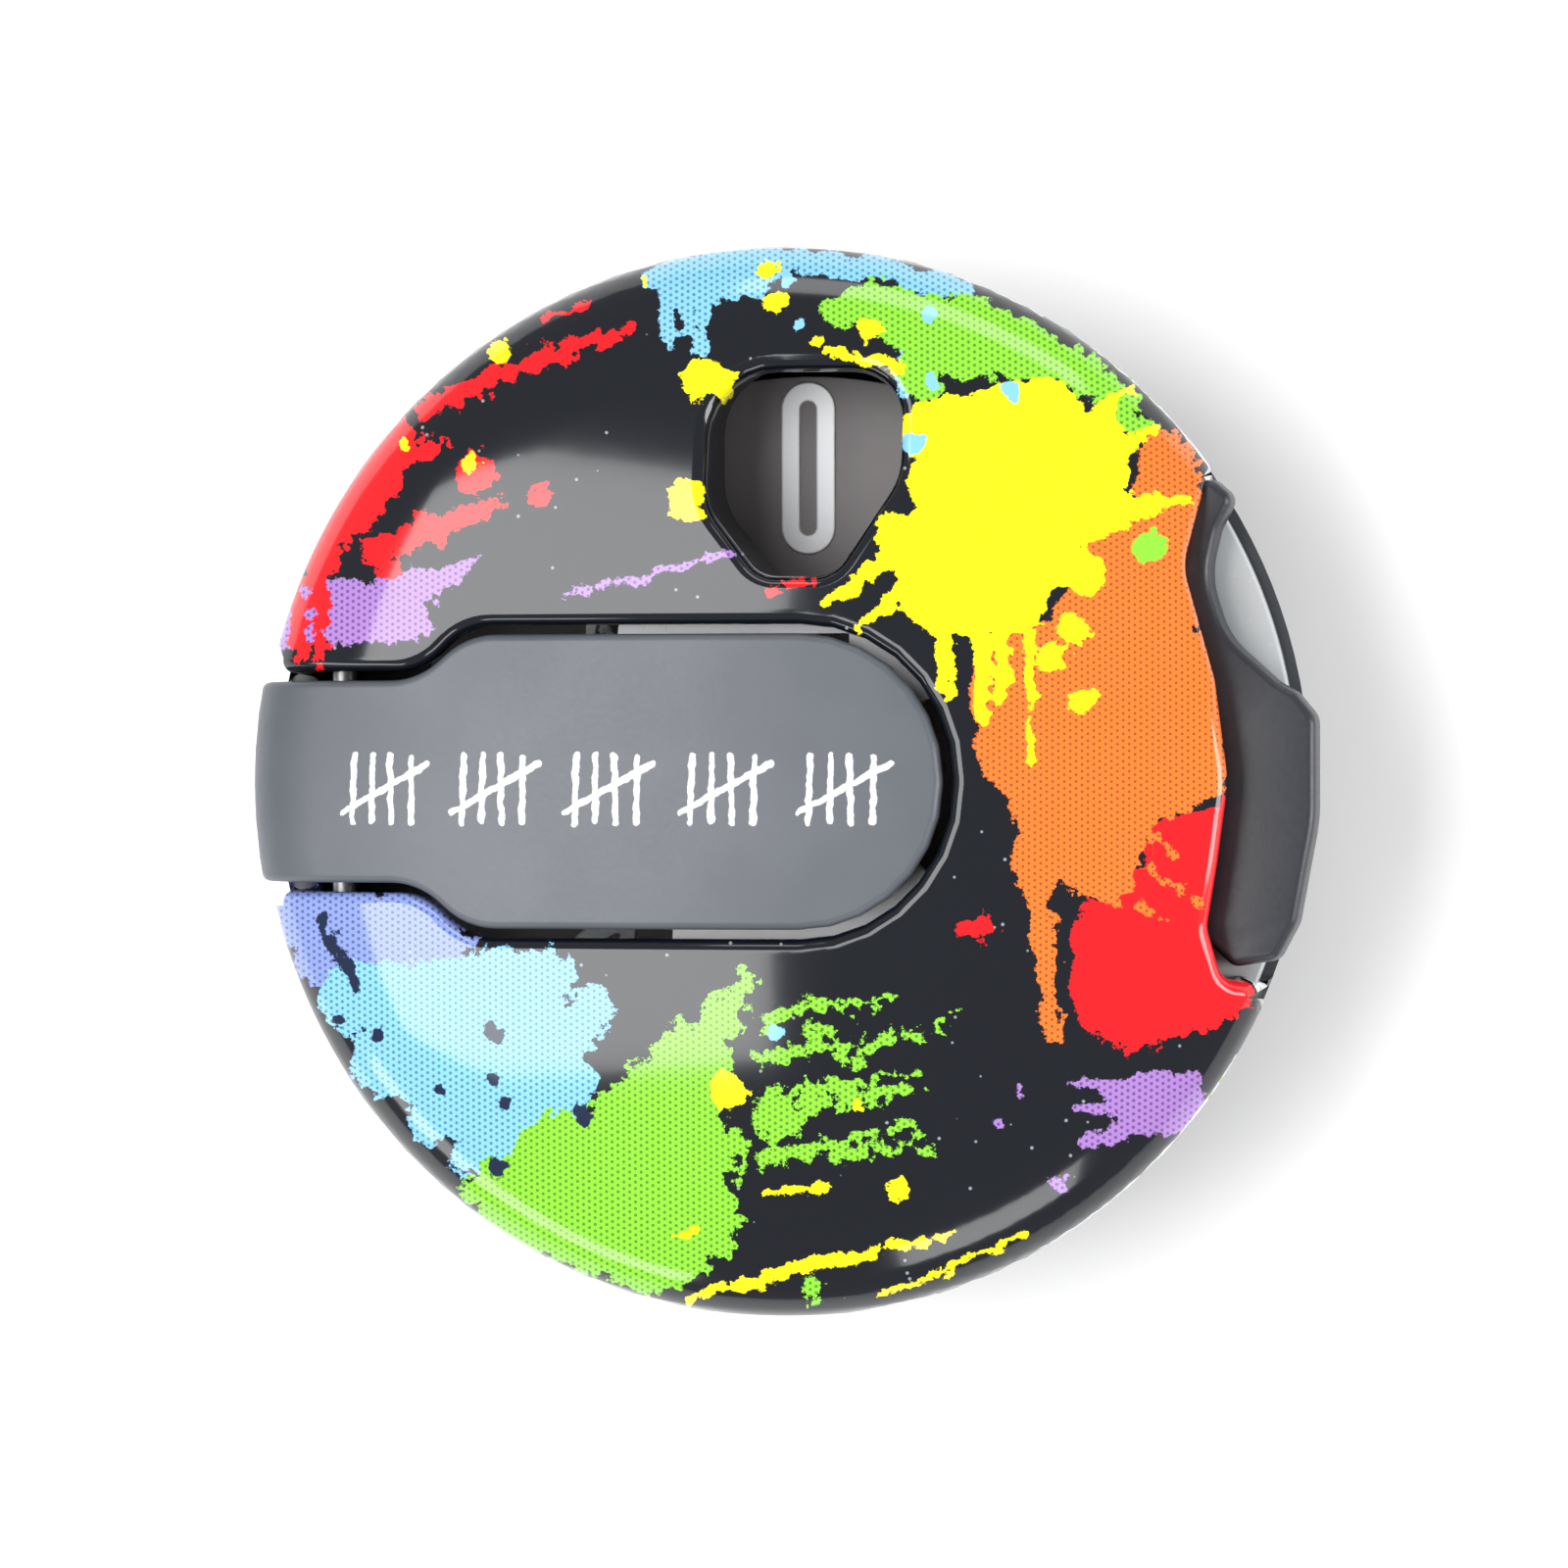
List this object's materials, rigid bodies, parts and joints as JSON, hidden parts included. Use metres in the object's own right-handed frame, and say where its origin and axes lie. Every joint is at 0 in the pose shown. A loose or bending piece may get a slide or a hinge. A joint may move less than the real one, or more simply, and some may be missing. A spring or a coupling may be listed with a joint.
{
  "type": "hand tally counter",
  "caption": "Round clip-on tally counter: domed case with a press tongue, number window, side reset lever and a spring clip on the back.",
  "frame": {"origin": "on the clip's outer face, under the centre of the case", "axes": "+Z out of the counter's face, +Y towards the display window, +X towards the reset lever"},
  "size_m": [0.0405, 0.04, 0.0152],
  "materials": {
    "printed_shell": "high gloss black ABS with a printed paint-splatter pattern under clear lacquer",
    "black_abs": "satin moulded black ABS",
    "tongue_plastic": "satin dark grey plastic with white printed tally marks",
    "lever_plastic": "satin near-black plastic",
    "wheel_plastic": "matte dark grey plastic with printed pale numerals",
    "white_acetal": "smooth natural acetal",
    "plated_steel": "zinc-plated steel",
    "spring_steel": "bright spring wire",
    "brass": "turned brass",
    "pad_rubber": "matte black rubber"
  },
  "bodies": {
    "case": {"front_shell": "printed_shell", "rear_case": "black_abs", "case_screws": "plated_steel", "wheel_axle": "plated_steel", "thrust_washer": "brass", "return_spring": "spring_steel", "mechanism_bridge": "plated_steel", "bridge_screws": "plated_steel", "slide_studs": "plated_steel", "tongue_hinge_pin": "plated_steel", "tongue_return_spring": "spring_steel", "slide_return_spring": "spring_steel", "holding_pawl_pin": "plated_steel", "holding_pawl_spring": "spring_steel", "lever_pivot_pin": "plated_steel", "lever_return_spring": "spring_steel", "clip_hinge_pin": "plated_steel", "clip_spring": "spring_steel"},
    "tongue": {"count_tongue": "tongue_plastic"},
    "slide": {"drive_slide": "white_acetal", "drive_pawl": "plated_steel", "drive_pawl_pin": "plated_steel"},
    "wheel": {"number_wheel": "wheel_plastic", "wheel_bush": "brass", "ratchet_wheel": "brass"},
    "lever": {"reset_lever": "lever_plastic"},
    "pawl": {"holding_pawl": "plated_steel"},
    "clip": {"glove_clip": "black_abs", "clip_pad": "pad_rubber"}
  },
  "joints": [
    {"name": "tongue_press", "type": "hinge", "parent": "case", "child": "tongue", "pos_m": [-0.017, 0, 0.0092], "axis": [0, 1, 0], "range_deg": [0, 5], "stiffness_Nm_per_rad": 0.05, "springref_deg": -8.59, "deforming": ["tongue_return_spring"]},
    {"name": "slide_drive", "type": "slide", "parent": "case", "child": "slide", "axis": [1, 0, 0], "range_m": [0, 0.00195], "deforming": ["slide_return_spring"]},
    {"name": "wheel_turn", "type": "hinge", "parent": "case", "child": "wheel", "pos_m": [0.0008, 0, 0.0083], "axis": [0, 0, -1], "range_deg": [0, 308.57], "deforming": ["return_spring"]},
    {"name": "reset_press", "type": "hinge", "parent": "case", "child": "lever", "pos_m": [0.0152, 0.0091, 0.0101], "axis": [0, 0, -1], "range_deg": [0, 5], "stiffness_Nm_per_rad": 0.03, "springref_deg": -8.59, "deforming": ["lever_return_spring"]},
    {"name": "pawl_release", "type": "hinge", "parent": "case", "child": "pawl", "pos_m": [0.0078, -0.0052, 0.0094], "axis": [0, 0, 1], "range_deg": [0, 15.75], "deforming": ["holding_pawl_spring"]},
    {"name": "clip_open", "type": "hinge", "parent": "case", "child": "clip", "pos_m": [0, 0.008, 0.0023], "axis": [1, 0, 0], "range_deg": [0, 14], "stiffness_Nm_per_rad": 0.1, "springref_deg": -14.32, "deforming": ["clip_spring"]}
  ],
  "couplings": [
    {"joint": "slide_drive", "follows": "tongue_press", "m_per_rad": 0.022343},
    {"joint": "pawl_release", "follows": "reset_press", "ratio": 3.05}
  ]
}
